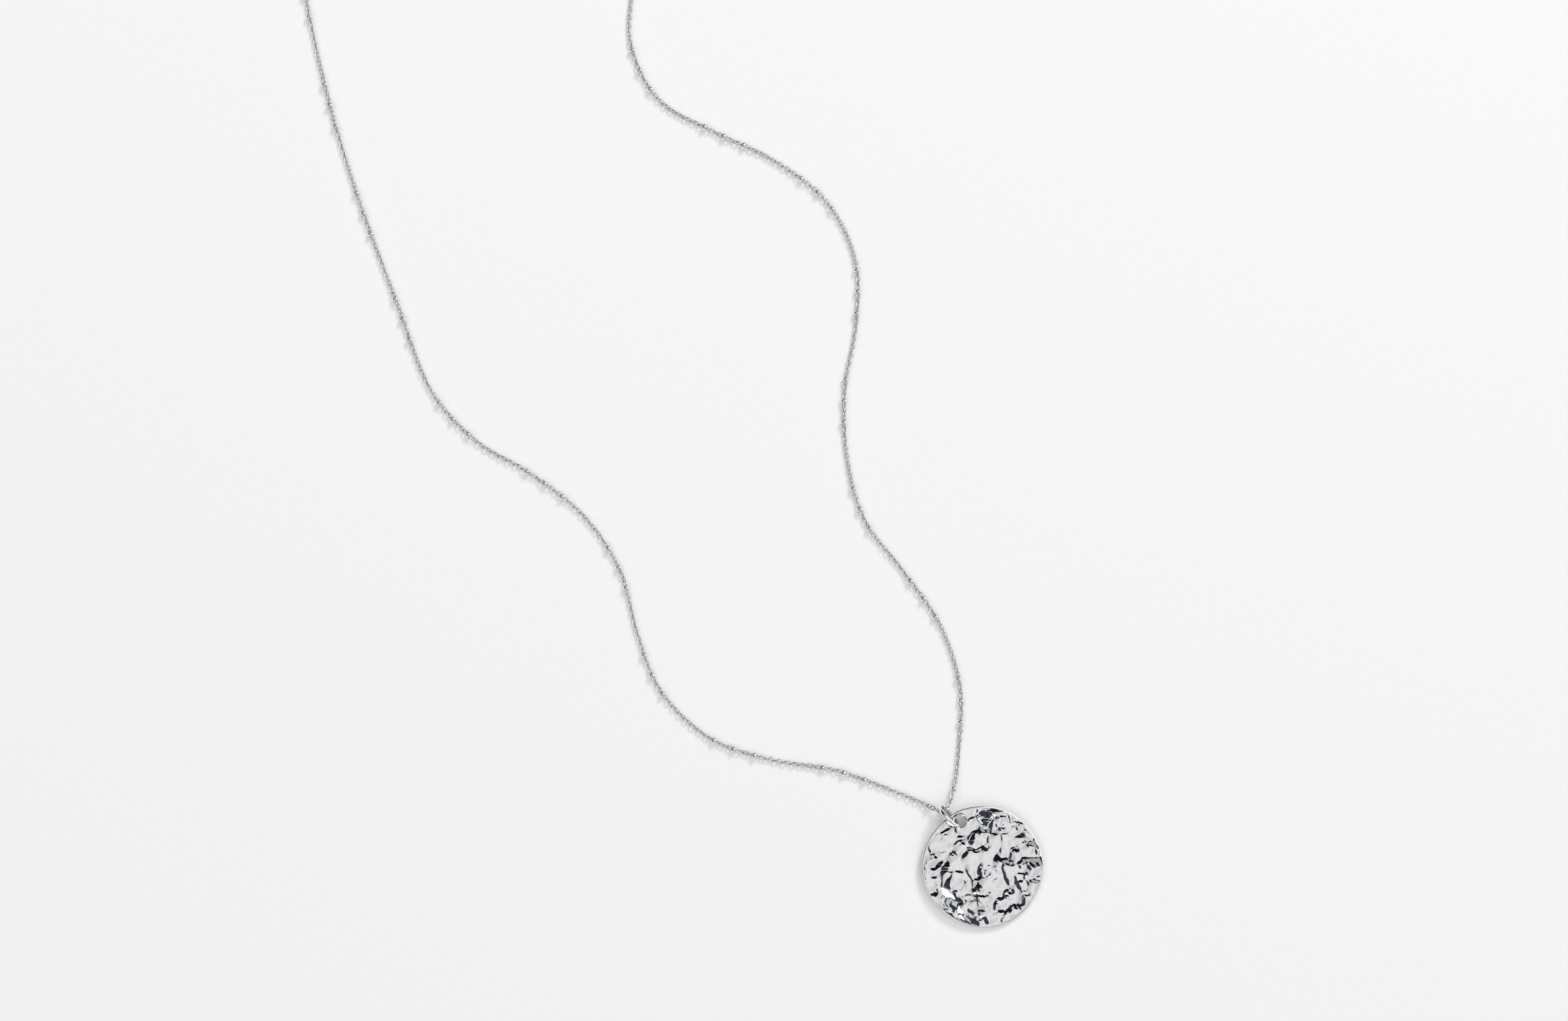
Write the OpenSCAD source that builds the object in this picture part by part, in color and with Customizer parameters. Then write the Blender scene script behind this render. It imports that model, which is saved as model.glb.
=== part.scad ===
// Long necklace laid out flat: a hammered round disc hangs by a jump ring on a cable chain that
// carries small beads in threes and closes with a clasp. Millimetres, X to the right, Y up the
// page, Z up, floor at Z = 0 and the origin under the middle of the whole loop.

/* [Disc] */
// Diameter of the disc
disc_d = 28; // [27.8:0.1:28.2]
// Thickness of the disc before it was hammered
disc_t = 1.2; // [1.1:0.05:1.25]
// Bevel of the disc's edge
disc_bevel = 0.2; // [0.1:0.05:0.3]
// How steeply the disc leans on the bail ring, in degrees
disc_lean = 3.2; // [3.15:0.05:3.4]
// Diameter of the drilled hole
hole_d = 2.75; // [2.7:0.05:3]
// Depth of the hammer marks, as a share of the charted depth
dent_share = 1; // [0.5:0.1:1.1]

/* [Bail ring] */
// Outer diameter of the ring that carries the disc
bail_d = 6.9; // [6.85:0.05:6.95]
// Thickness of its wire
bail_wire = 0.8; // [0.7:0.05:0.8]
// How far the ring leans from upright, in degrees
bail_lean = 9; // [7:1:10]

/* [Chain] */
// Width of the chain across its links
chain_d = 0.9; // [0.8:0.05:0.9]
// Length of chain from one trio of beads to the next on the left side
left_step = 25.85; // [25.8:0.05:25.9]
// The same on the right side, where the links lie closer together
right_step = 25.2; // [25.15:0.05:25.25]
// Length of chain from one bead to the next in a trio
bead_step = 4.95; // [4.8:0.05:5]
// Diameter of a bead
bead_d = 1.64; // [1.6:0.02:1.64]
// Thickness of a bead along the chain
bead_t = 0.9; // [0.8:0.05:0.95]
// Diameter of the hole through a bead
bead_bore = 1.1; // [1.1:0.02:1.14]

/* [Clasp] */
// Thickness of the clasp's wire
clasp_wire = 1.2; // [1.1:0.05:1.25]
// Straight part of the clasp's loop
clasp_straight = 4; // [3.8:0.1:4.2]
// Outer diameter of the two rings at the clasp
tail_ring_d = 4; // [3.95:0.05:4.1]
// Thickness of their wire
tail_ring_wire = 0.7; // [0.6:0.05:0.7]

/* [Hidden] */
$fn = 48;

// Places, from the middle of the loop or from the middle of the disc
disc_at = [74, -161];
hole_from_disc = [-5.21, 10.57];
bail_from_disc = [-7.73, 11.81];
bail_turn = -45;
clasp_at = [-68, 168.5];
clasp_turn = 31;

// Hammer marks: x, y from the disc's middle, half width, depth
dents = [
  [-4.6, 12.0, 2.2, 0.20], [0.3, 12.0, 2.4, 0.34], [4.2, 12.3, 1.6, 0.18], [7.6, 11.0, 1.4, 0.24],
  [-2.6, 9.6, 2.0, 0.20], [2.0, 9.6, 1.2, 0.22], [4.6, 9.9, 2.0, 0.20], [9.6, 9.0, 0.9, 0.14],
  [-9.4, 9.4, 1.7, 0.18], [-7.0, 7.6, 1.8, 0.24], [-4.3, 9.2, 1.6, 0.18], [7.6, 8.3, 1.5, 0.16],
  [-0.8, 6.8, 2.6, 0.38], [2.8, 6.1, 1.9, 0.28], [5.3, 6.1, 1.7, 0.26], [9.4, 7.0, 1.3, 0.22],
  [-9.8, 6.4, 1.8, 0.14], [-11.4, 5.0, 1.8, 0.26], [-5.2, 4.4, 1.9, 0.26], [8.0, 5.6, 1.6, 0.14],
  [-12.1, 1.7, 1.9, 0.28], [-9.2, 3.6, 1.8, 0.16], [-6.7, 1.9, 1.9, 0.26], [-2.8, 2.0, 2.4, 0.28],
  [0.4, 2.3, 2.7, 0.30], [5.3, 3.4, 1.7, 0.24], [7.9, 3.1, 1.9, 0.30], [10.4, 3.9, 2.0, 0.24],
  [12.2, 5.4, 1.5, 0.18], [11.4, 1.4, 2.2, 0.24], [5.2, 1.0, 1.4, 0.22], [3.3, 1.4, 1.4, 0.26],
  [-9.0, -0.4, 1.9, 0.34], [-5.8, -0.6, 2.1, 0.20], [-2.7, -0.7, 2.1, 0.26], [-0.3, -0.9, 1.5, 0.28],
  [1.5, -1.1, 1.3, 0.18], [3.4, -0.8, 1.7, 0.16], [6.4, -1.3, 2.2, 0.32], [9.0, -2.2, 1.4, 0.24],
  [11.5, -1.0, 1.9, 0.22], [8.9, -4.0, 1.8, 0.28], [11.4, -4.2, 1.9, 0.20], [-12.2, -1.6, 1.6, 0.18],
  [-11.0, -3.6, 2.0, 0.20], [-8.4, -3.0, 1.7, 0.28], [-5.6, -3.0, 2.1, 0.22], [-3.9, -5.0, 2.1, 0.24],
  [-1.0, -4.7, 1.7, 0.30], [1.0, -4.2, 1.8, 0.18], [3.4, -3.6, 2.0, 0.18], [6.0, -6.2, 1.5, 0.28],
  [-11.0, -5.9, 1.4, 0.26], [-8.2, -5.8, 1.9, 0.36], [-9.8, -8.2, 1.6, 0.20], [-7.6, -7.9, 1.3, 0.26],
  [-5.6, -7.2, 1.8, 0.34], [-2.9, -8.3, 2.1, 0.28], [0.7, -7.2, 1.6, 0.24], [3.6, -6.0, 1.6, 0.14],
  [9.8, -7.4, 1.5, 0.26], [4.0, -8.7, 2.0, 0.30], [7.7, -9.4, 1.7, 0.26], [-5.4, -9.9, 1.8, 0.36],
  [-7.4, -10.4, 1.4, 0.22], [0.9, -9.6, 1.6, 0.18], [-2.0, -11.3, 1.9, 0.34], [-4.6, -12.0, 1.5, 0.30],
  [2.3, -11.5, 1.8, 0.22], [6.1, -11.0, 1.6, 0.24], [-0.2, -12.8, 1.4, 0.26], [4.4, -12.6, 1.2, 0.22],
  [11.6, -6.6, 1.3, 0.18], [13.0, -0.6, 1.1, 0.18], [-13.1, 3.9, 0.9, 0.12], [-7.4, 4.6, 1.5, 0.14]
];

// Route of the chain: x, y and the lift above where its beads lie on the floor
left_route = [
  [-84, 151.5, 0], [-88, 132, 0], [-88, 108, 0], [-86.5, 84, 0], [-84, 60, 0], [-80.5, 36, 0],
  [-75, 12, 0], [-68, -10.5, 0], [-60, -32, 0], [-52.5, -51.5, 0], [-42, -63.5, 0],
  [-29.5, -71, 0], [-17.5, -80.5, 0], [-9, -93, 0], [-5, -107.5, 0], [0.5, -121, 0],
  [11.5, -131.5, 0], [25.5, -136.5, 0], [40.5, -139, 0], [54.5, -144, 0], [61.5, -147, 0.2]
];
bail_route = [[63.1, -147.8, 0.8], [64.3, -148.1, 1.35], [65.2, -148, 1.6], [65.9, -147.6, 1.6]];
right_route = [
  [67.5, -143, 0.5], [68.5, -135.5, 0], [69, -120.5, 0], [64.5, -106, 0], [56, -93.5, 0],
  [47, -81.5, 0], [43, -67, 0], [42.5, -52, 0], [45, -37.5, 0], [45, -22.5, 0], [38.5, -9, 0],
  [26.5, 0.5, 0], [13, 7, 0], [0, 14.5, 0], [-6.5, 27.5, 0], [-6, 43, 0], [-5.5, 70, 0],
  [-5.5, 100, 0], [-6, 128, 0], [-12, 151, 0], [-25.5, 167.5, 0], [-42, 175, 0]
];

// The disc's lean lifts its drilled side off the floor
disc_r = disc_d / 2;
disc_lift = disc_r * sin(disc_lean);
lean_axis = [hole_from_disc.y, -hole_from_disc.x, 0];

// Bail ring, standing on the floor
bail_r = (bail_d - bail_wire) / 2;
bail_z = bail_wire / 2 + bail_r * cos(bail_lean);

// Clasp, measured along the way it points, and held clear of the floor by its two rings
tail_r = (tail_ring_d - tail_ring_wire) / 2;
clasp_r = 1.6;
eye_wire = 1;
eye_r = 1.2;
chain_eye_r = 0.85;
chain_eye_wire = 0.5;
clasp_z = tail_ring_wire + clasp_wire / 2 + 0.08;
loop_end = clasp_straight / 2 + clasp_r;
eye_x = loop_end + eye_r;
end_ring_x = -loop_end - 0.1;
jump_ring_x = eye_x + eye_r + 0.3;
left_eye_x = end_ring_x - 1.6;
right_eye_x = jump_ring_x + 1.6;
chain_eye_z = clasp_z + 0.1;
eye_to_chain = chain_eye_r + 0.15;
tail = 3;

// Point at a distance along the clasp's line, at a height
function by_clasp(x, z) = [
  clasp_at.x + x * cos(clasp_turn), clasp_at.y + x * sin(clasp_turn), z
];

// The route as one smooth line through all its rows
lying_z = bead_d / 2;
tail_lift = chain_eye_z - lying_z;
left_end = by_clasp(left_eye_x - eye_to_chain, tail_lift);
right_end = by_clasp(right_eye_x + eye_to_chain, tail_lift);
route = concat(
  [left_end, by_clasp(left_eye_x - eye_to_chain - tail, tail_lift / 2)], left_route, bail_route,
  right_route, [by_clasp(right_eye_x + eye_to_chain + tail, tail_lift / 2), right_end]
);
steps = 10;
middle_row = 2 + len(left_route) + len(bail_route) - 1;

function row(i) = route[min(max(i, 0), len(route) - 1)];
function blend(a, b, c, d, t) =
  (2 * b + (c - a) * t + (2 * a - 5 * b + 4 * c - d) * t ^ 2 + (3 * b - a - 3 * c + d) * t ^ 3) / 2;
line = [
  for (i = [0 : len(route) - 2], j = [0 : steps - 1])
    blend(row(i - 1), row(i), row(i + 1), row(i + 2), j / steps),
  route[len(route) - 1]
];
run = [
  for (i = 0, s = 0; i < len(line); i = i + 1, s = i < len(line) ? s + norm(line[i] - line[i - 1]) : s)
    s
];
function column(list, k) = [for (i = [0 : len(list) - 1]) [run[i], list[i][k]]];
line_x = column(line, 0);
line_y = column(line, 1);
line_z = column(line, 2);
function on_line(s) = [
  lookup(s, line_x), lookup(s, line_y), lying_z + max(0, lookup(s, line_z))
];

// Trios of beads, counted both ways from the one at the bail ring
left_trios = 14;
right_trios = 15;
middle_run = run[middle_row * steps];
full_run = run[len(line) - 1];
trios = concat(
  [for (k = [left_trios : -1 : 1]) middle_run - k * left_step], [middle_run],
  [for (k = [1 : right_trios]) middle_run + k * right_step]
);
beads = [for (s = trios, k = [-1, 0, 1]) s + k * bead_step];

// Stations of the chain's rings: straight under each trio, a bend between trios only where the
// route turns, and short steps on the bare left end and where the chain climbs through the bail ring
half_trio = bead_step + bead_t / 2 + 0.25;
half_bead = bead_t / 2 + 0.25;
half_turn = 8.4;
left_bends = [5, 10, 15.5];
function heading(s) = let (v = on_line(s + 1) - on_line(s - 1)) atan2(v.y, v.x);
function turn(a, b) = let (t = abs(heading(a) - heading(b))) min(t, 360 - t);
bends = [
  for (i = [1 : len(trios) - 1], s = [(trios[i - 1] + trios[i]) / 2])
    if (turn(s - half_turn, s + half_turn) > 16) s
];
climb = [for (s = [-3.4, -2.2, -1.3, 2.6]) middle_run + s];
stations = sorted(concat(
  [0, full_run], left_bends, bends, climb,
  [for (s = trios, k = [-1, 1]) if (s != middle_run) s + k * half_trio],
  [for (b = [-1, 0, 1], k = [-1, 1]) middle_run + b * bead_step + k * half_bead]
));
function sorted(list) = len(list) < 2 ? list :
  let (p = list[floor(len(list) / 2)])
    concat(sorted([for (v = list) if (v < p) v]), [p], sorted([for (v = list) if (v > p) v]));

rings = [for (s = stations) on_line(s)];
ring_x = [for (i = [0 : len(rings) - 1]) [stations[i], rings[i].x]];
ring_y = [for (i = [0 : len(rings) - 1]) [stations[i], rings[i].y]];
ring_z = [for (i = [0 : len(rings) - 1]) [stations[i], rings[i].z]];
function on_chain(s) = [lookup(s, ring_x), lookup(s, ring_y), lookup(s, ring_z)];

sides = 8;
function unit(v) = v / norm(v);
function ring_way(i) = unit(
  (i > 0 ? unit(rings[i] - rings[i - 1]) : [0, 0, 0])
  + (i < len(rings) - 1 ? unit(rings[i + 1] - rings[i]) : [0, 0, 0])
);

module tube(points, d) {
  last = (len(points) - 1) * sides;
  corners = [
    for (i = [0 : len(points) - 1])
      let (way = ring_way(i), side = unit(cross([0, 0, 1], way)), up = cross(way, side))
        for (j = [0 : sides - 1])
          points[i] + d / 2 * (cos((j + 0.5) * 360 / sides) * side + sin((j + 0.5) * 360 / sides) * up)
  ];
  walls = [
    for (i = [0 : sides : last - sides], j = [0 : sides - 1])
      let (k = (j + 1) % sides)
        for (face = [[i + j, i + sides + j, i + sides + k], [i + j, i + sides + k, i + k]]) face
  ];
  caps = [[for (j = [0 : sides - 1]) j], [for (j = [sides - 1 : -1 : 0]) last + j]];
  polyhedron(points = corners, faces = concat(caps, walls));
}

// Ring of round wire lying flat, with its middle at the origin
module wire_ring(r, wire) {
  rotate_extrude() translate([r, 0]) circle(d = wire, $fn = 32);
}

// The same ring standing up, its hole facing across the line it is turned to
module standing_ring(r, wire, turned, lean) {
  rotate([0, 0, turned]) rotate([90 + lean, 0, 0]) wire_ring(r, wire);
}

// The blank, then each blow of the hammer taken from what the earlier ones left
module hammered_blank(blows) {
  if (blows == 0)
    rotate_extrude($fn = 96) polygon([
      [0, 0], [disc_r - disc_bevel, 0], [disc_r, disc_bevel], [disc_r, disc_t - disc_bevel],
      [disc_r - disc_bevel, disc_t], [0, disc_t]
    ]);
  else difference() {
    hammered_blank(blows - 1);
    hammer_face(dents[blows - 1]);
  }
}

module hammer_face(dent) {
  deep = dent[3] * dent_share;
  r = (dent[2] ^ 2 + deep ^ 2) / (2 * deep);
  translate([dent[0], dent[1], disc_t - deep + r]) sphere(r, $fn = 96);
}

module pendant_disc() {
  color("silver")
    translate([disc_at.x, disc_at.y, disc_lift]) rotate(a = disc_lean, v = lean_axis)
      difference() {
        hammered_blank(len(dents));
        translate([hole_from_disc.x, hole_from_disc.y, -1]) cylinder(d = hole_d, h = disc_t + 2);
      }
}

module bail_ring() {
  color("lightgray")
    translate([disc_at.x + bail_from_disc.x, disc_at.y + bail_from_disc.y, bail_z])
      standing_ring(bail_r, bail_wire, bail_turn, bail_lean);
}

// The links as one cord of their outer width, with the eye that ends each side
module chain() {
  color("darkgray") {
    tube(rings, chain_d);
    for (x = [left_eye_x, right_eye_x])
      translate(by_clasp(x, chain_eye_z)) wire_ring(chain_eye_r, chain_eye_wire);
  }
}

module chain_beads() {
  color("silver") for (s = beads) {
    way = on_chain(s + 0.2) - on_chain(s - 0.2);
    translate(on_chain(s)) rotate([0, atan2(norm([way.x, way.y]), way.z), atan2(way.y, way.x)])
      bead();
  }
}

// A flattened bead, rounded in small flats, with its hole along Z
module bead() {
  corner = bead_t / 2;
  rotate_extrude($fn = 32) difference() {
    union() {
      translate([bead_d / 2 - corner, 0]) circle(corner, $fn = 12);
      translate([0, -corner]) square([bead_d / 2 - corner, bead_t]);
    }
    translate([-bead_d, -bead_t]) square([bead_d + bead_bore / 2, 2 * bead_t]);
  }
}

// Closed clasp: a long loop of wire with a small eye at one end
module clasp() {
  color("silver") translate([clasp_at.x, clasp_at.y, clasp_z]) rotate(clasp_turn) {
    for (end = [0, 180]) rotate(end) {
      translate([clasp_straight / 2, 0]) rotate(-90)
        rotate_extrude(angle = 180) translate([clasp_r, 0]) circle(d = clasp_wire, $fn = 32);
      translate([-clasp_straight / 2, clasp_r]) rotate([0, 90, 0])
        cylinder(d = clasp_wire, h = clasp_straight, $fn = 32);
    }
    translate([eye_x, 0]) wire_ring(eye_r, eye_wire);
  }
}

module clasp_end_ring() {
  color("lightgray") translate(by_clasp(end_ring_x, tail_ring_d / 2))
    standing_ring(tail_r, tail_ring_wire, clasp_turn, 0);
}

module clasp_jump_ring() {
  color("lightgray") translate(by_clasp(jump_ring_x, tail_ring_d / 2))
    standing_ring(tail_r, tail_ring_wire, clasp_turn, 0);
}

pendant_disc();
bail_ring();
chain();
chain_beads();
clasp();
clasp_end_ring();
clasp_jump_ring();
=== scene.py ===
import math
import random

import bpy
import numpy as np
from mathutils import Euler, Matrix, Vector


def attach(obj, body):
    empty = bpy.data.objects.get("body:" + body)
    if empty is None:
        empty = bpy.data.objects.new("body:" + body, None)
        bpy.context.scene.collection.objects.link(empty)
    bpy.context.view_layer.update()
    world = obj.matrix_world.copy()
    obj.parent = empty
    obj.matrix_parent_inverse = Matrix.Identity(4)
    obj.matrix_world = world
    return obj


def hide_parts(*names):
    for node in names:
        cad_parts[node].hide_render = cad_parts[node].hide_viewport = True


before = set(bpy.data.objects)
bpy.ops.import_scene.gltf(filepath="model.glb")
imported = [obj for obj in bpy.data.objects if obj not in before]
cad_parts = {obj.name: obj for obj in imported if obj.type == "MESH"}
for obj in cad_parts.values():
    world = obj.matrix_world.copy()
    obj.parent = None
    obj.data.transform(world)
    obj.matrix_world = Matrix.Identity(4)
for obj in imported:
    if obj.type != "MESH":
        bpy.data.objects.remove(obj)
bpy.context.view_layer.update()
mm = 0.001

# helpers for shaping


def letGo():
    if bpy.context.object and bpy.context.object.mode == "EDIT":
        bpy.ops.object.mode_set(mode="OBJECT")
    bpy.ops.object.select_all(action="DESELECT")


def take(thing):
    letGo()
    thing.select_set(True)
    bpy.context.view_layer.objects.active = thing


def vertexPlaces(thing):
    flat = np.empty(len(thing.data.vertices) * 3)
    thing.data.vertices.foreach_get("co", flat)
    return flat.reshape(-1, 3)


def setVertexPlaces(thing, places):
    thing.data.vertices.foreach_set("co", np.asarray(places).ravel())
    thing.data.update()


def pickVertices(thing, chosen):  # leaves the object in edit mode with these vertices selected
    take(thing)
    bpy.ops.object.mode_set(mode="EDIT")
    bpy.ops.mesh.select_mode(type="VERT")
    bpy.ops.mesh.select_all(action="DESELECT")
    bpy.ops.object.mode_set(mode="OBJECT")
    thing.data.vertices.foreach_set("select", np.asarray(chosen, dtype=bool))
    bpy.ops.object.mode_set(mode="EDIT")


def settle(thing, name):  # name, and the place put into the mesh
    take(thing)
    bpy.ops.object.transform_apply(location=True, rotation=True, scale=True)
    thing.name = name
    thing.data.name = name
    return thing


# round wire bent to a ring, and pulled long by its straight part
def wireLoop(name, bend, wire, straight=0.0, segments=64, sides=20, at=(0, 0, 0), turned=(0, 0, 0)):
    letGo()
    bpy.ops.mesh.primitive_torus_add(
        major_segments=segments, minor_segments=sides, major_radius=bend * mm, minor_radius=wire / 2 * mm,
        location=(0, 0, 0))
    loop = bpy.context.object
    if straight:
        for side in (-1, 1):
            pickVertices(loop, vertexPlaces(loop)[:, 0] * side > 1e-7)
            bpy.ops.transform.translate(value=(side * straight / 2 * mm, 0, 0))
            bpy.ops.object.mode_set(mode="OBJECT")
    loop.location = Vector(at) * mm
    loop.rotation_euler = Euler([math.radians(a) for a in turned])
    settle(loop, name)
    bpy.ops.object.shade_smooth()
    return loop


def joined(things, name):
    letGo()
    for thing in things:
        thing.select_set(True)
    bpy.context.view_layer.objects.active = things[0]
    bpy.ops.object.join()
    return settle(things[0], name)


def paintedShadeMarks(thing, thick):  # marks where a wire loop gets painted shade: none at its flat sides, most along its inner and outer edges
    unshaded = thing.data.attributes.new("unshaded", "FLOAT", "POINT")
    heights = vertexPlaces(thing)[:, 2]
    unshaded.data.foreach_set("value", np.abs(heights - heights.mean()) / (thick / 2 * mm))
    return thing


def ringPaintedShadeMarks(ring, bend, wire):  # the same for a round ring: painted shade darkest on its inner side
    unshaded = ring.data.attributes.new("unshaded", "FLOAT", "POINT")
    places = vertexPlaces(ring)
    away = np.linalg.norm(places - places.mean(axis=0), axis=1) / mm
    unshaded.data.foreach_set("value", (away - bend + wire / 2) / wire)
    return ring


def laidOut(name, pattern, places):  # one mesh that holds a copy of the pattern at each place
    corners = vertexPlaces(pattern)
    faces = [tuple(face.vertices) for face in pattern.data.polygons]
    allCorners, allFaces = [], []
    for count, (spot, turn) in enumerate(places):
        allCorners.append(corners @ turn.T + spot)
        allFaces += [tuple(v + count * len(corners) for v in face) for face in faces]
    mesh = bpy.data.meshes.new(name)
    mesh.from_pydata(np.concatenate(allCorners).tolist(), [], allFaces)
    mesh.update()
    # the painted-shade marks go to every copy
    if "unshaded" in pattern.data.attributes:
        unshaded = np.empty(len(corners))
        pattern.data.attributes["unshaded"].data.foreach_get("value", unshaded)
        mesh.attributes.new("unshaded", "FLOAT", "POINT").data.foreach_set("value", np.tile(unshaded, len(places)))
    laid = bpy.data.objects.new(name, mesh)
    bpy.context.scene.collection.objects.link(laid)
    take(laid)
    bpy.ops.object.shade_smooth()
    return laid


def dress(piece, finish, slot, *replaced):
    piece.data.materials.clear()
    piece.data.materials.append(finish)
    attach(piece, "root")
    if replaced:
        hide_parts(*replaced)


# shader sums


class Wire:  # one output socket, so that shader maths reads as sums

    def __init__(self, tree, end):
        self.tree, self.end = tree, end

    def node(self, kind, setup=None, feed=None, out=0):
        new = self.tree.nodes.new(kind)
        for name, value in (setup or {}).items():
            setattr(new, name, value)
        for name, value in (feed or {}).items():
            if isinstance(value, Wire):
                self.tree.links.new(value.end, new.inputs[name])
            else:
                new.inputs[name].default_value = value
        return Wire(self.tree, new.outputs[out]) if len(new.outputs) else new

    def calc(self, operation, *values):
        return self.node("ShaderNodeMath", {"operation": operation}, dict(enumerate(values)))

    def __add__(self, other):
        return self.calc("ADD", self, other)

    def __sub__(self, other):
        return self.calc("SUBTRACT", self, other)

    def __rsub__(self, other):
        return self.calc("SUBTRACT", other, self)

    def __mul__(self, other):
        return self.calc("MULTIPLY", self, other)

    __radd__, __rmul__ = __add__, __mul__

    def step(self, low, high):  # smooth rise from 0 at low to 1 at high
        return self.node("ShaderNodeMapRange", {"interpolation_type": "SMOOTHSTEP"},
                         {"Value": self, "From Min": low, "From Max": high})

    def tint(self, low, high):  # from one colour to the other
        ends = {f: (value if isinstance(value, Wire) else (*value, 1)) for f, value in ((6, low), (7, high))}
        return self.node("ShaderNodeMix", {"data_type": "RGBA"}, {0: self, **ends}, out=2)

    def dot(self, way):
        return self.node("ShaderNodeVectorMath", {"operation": "DOT_PRODUCT"}, {0: self, 1: way}, out=1)


def freshTree(owner):
    owner.use_nodes = True
    owner.node_tree.nodes.clear()
    return Wire(owner.node_tree, None)


# studio

studio = {
    "floorTone": (0.93, 0.93, 0.935),
    "softTone": 0.80,  # the bright ceiling as the metal shows it
    "fillHigh": 1.08, "fillLow": 0.25,  # the even light on the floor, from overhead and from the sides
    "horizonTone": 0.75,
    "flatWay": (0.13, -0.205),  # where the disc's flat face sends the eye
    # the ceiling ends at the edge, in degrees from that way, but reaches further on its wide side
    "edge": 15.0, "edgeSoft": 1.2, "wideReach": 45,
    # parts of the room round that way, each with its middle, half width and softness in degrees
    "wideSide": (138, 65, 50), "dimSide": (40, 60, 40), "blueSide": (15, 45, 40),
    "greyCard": (-112, 48, 14), "keyCard": (47, 38, 8), "sideCard": (5, 48, 10), "horizonSide": (-50, 95, 40),
    # what the metal mirrors of them
    "ceilingTones": [(0.50, 0.505, 0.515), (0.60, 0.605, 0.615), (0.45, 0.455, 0.465)],
    "darkTone": (0.006, 0.007, 0.010), "dimTone": (0.032, 0.038, 0.055), "blueTone": (0.085, 0.095, 0.115),
    "greyTone": (0.42, 0.42, 0.43), "keyTone": (2.4, 2.4, 2.4), "sideTone": (1.5, 1.5, 1.5),
    "keyTurn": 64, "keyHeight": 36,  # the soft box that casts the shadows: its way in degrees
    "keyAim": (0.0285, -0.079, 0), "keyAway": 2.2, "keyWidth": 0.67,  # its place and size in metres
    "keyPower": 18.6,
    "eyeAt": (28.6, -79.5), "eyeHeight": 700, "viewWidth": 359.4,  # the camera looks straight down, in mm
}

letGo()
bpy.ops.mesh.primitive_plane_add(size=8, location=(0, 0, 0))
floor = bpy.context.object
floor.name = "paperFloor"
floorFinish = bpy.data.materials.new("palePaper")
start = freshTree(floorFinish)
grain = start.node("ShaderNodeTexNoise", feed={
    "Vector": start.node("ShaderNodeTexCoord", out=3), "Scale": 900.0, "Detail": 3.0})
paper = start.node("ShaderNodeBsdfPrincipled", feed={
    "Base Color": grain.step(0.3, 0.7).tint([c * 0.985 for c in studio["floorTone"]], studio["floorTone"]),
    "Roughness": 0.9, "Specular IOR Level": 0.2})
start.node("ShaderNodeOutputMaterial", feed={"Surface": paper})
floor.data.materials.append(floorFinish)

bpy.ops.object.camera_add(
    location=(studio["eyeAt"][0] * mm, studio["eyeAt"][1] * mm, studio["eyeHeight"] * mm), rotation=(0, 0, 0))
camera = bpy.context.object
camera.name = "eyeAbove"
camera.data.sensor_width = 36
camera.data.lens = camera.data.sensor_width * studio["eyeHeight"] / studio["viewWidth"]
camera.data.clip_start, camera.data.clip_end = 0.01, 20
bpy.context.scene.camera = camera

keyTurn, keyHeight = math.radians(studio["keyTurn"]), math.radians(studio["keyHeight"])
keyWay = Vector((math.cos(keyTurn) * math.cos(keyHeight), math.sin(keyTurn) * math.cos(keyHeight),
                 math.sin(keyHeight)))
bpy.ops.object.light_add(type="AREA", location=Vector(studio["keyAim"]) + keyWay * studio["keyAway"],
                         rotation=keyWay.to_track_quat("Z", "Y").to_euler())
softBox = bpy.context.object
softBox.name = "softBox"
softBox.data.shape = "DISK"
softBox.visible_glossy = False  # the metal sees the cards below instead
softBox.data.size = studio["keyWidth"]
softBox.data.energy = studio["keyPower"]
softBox.data.color = (1.0, 0.995, 0.985)

bpy.context.scene.view_settings.view_transform = "Standard"

world = bpy.data.worlds.new("studioWalls")
bpy.context.scene.world = world
start = freshTree(world)
way = start.node("ShaderNodeTexCoord", out=0)
flat = Vector((*studio["flatWay"], 1)).normalized()
across = Vector((0, 1, 0)).cross(flat).normalized()
up = flat.cross(across)
fromFlat = way.dot(flat).calc("ARCCOSINE", way.dot(flat)) * (180 / math.pi)
turn = way.dot(up).calc("ARCTAN2", way.dot(up), way.dot(across)) * (180 / math.pi)
fromUpright = start.calc("ARCCOSINE", way.dot((0, 0, 1))) * (180 / math.pi)


def towards(middle, half, soft):  # 1 inside a sector of ways round the flat face's own
    apart = (turn - middle).calc("WRAP", turn - middle, 180.0, -180.0)
    apart = apart.calc("ABSOLUTE", apart)
    return 1 - apart.step(half - soft / 2, half + soft / 2)


reach = studio["edge"] + towards(*studio["wideSide"]) * studio["wideReach"]
outside = (fromFlat - reach).step(-studio["edgeSoft"], studio["edgeSoft"])
lower = fromFlat * (turn + 30).calc("COSINE", (turn + 30) * (math.pi / 180))  # towards the lower right
ceiling = lower.step(-5, 12).tint([studio["softTone"]] * 3, studio["ceilingTones"][0])
ceiling = (0 - lower).step(4, 22).tint(ceiling, studio["ceilingTones"][1])
ceiling = (0 - lower).step(30, 60).tint(ceiling, studio["ceilingTones"][2])
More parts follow.
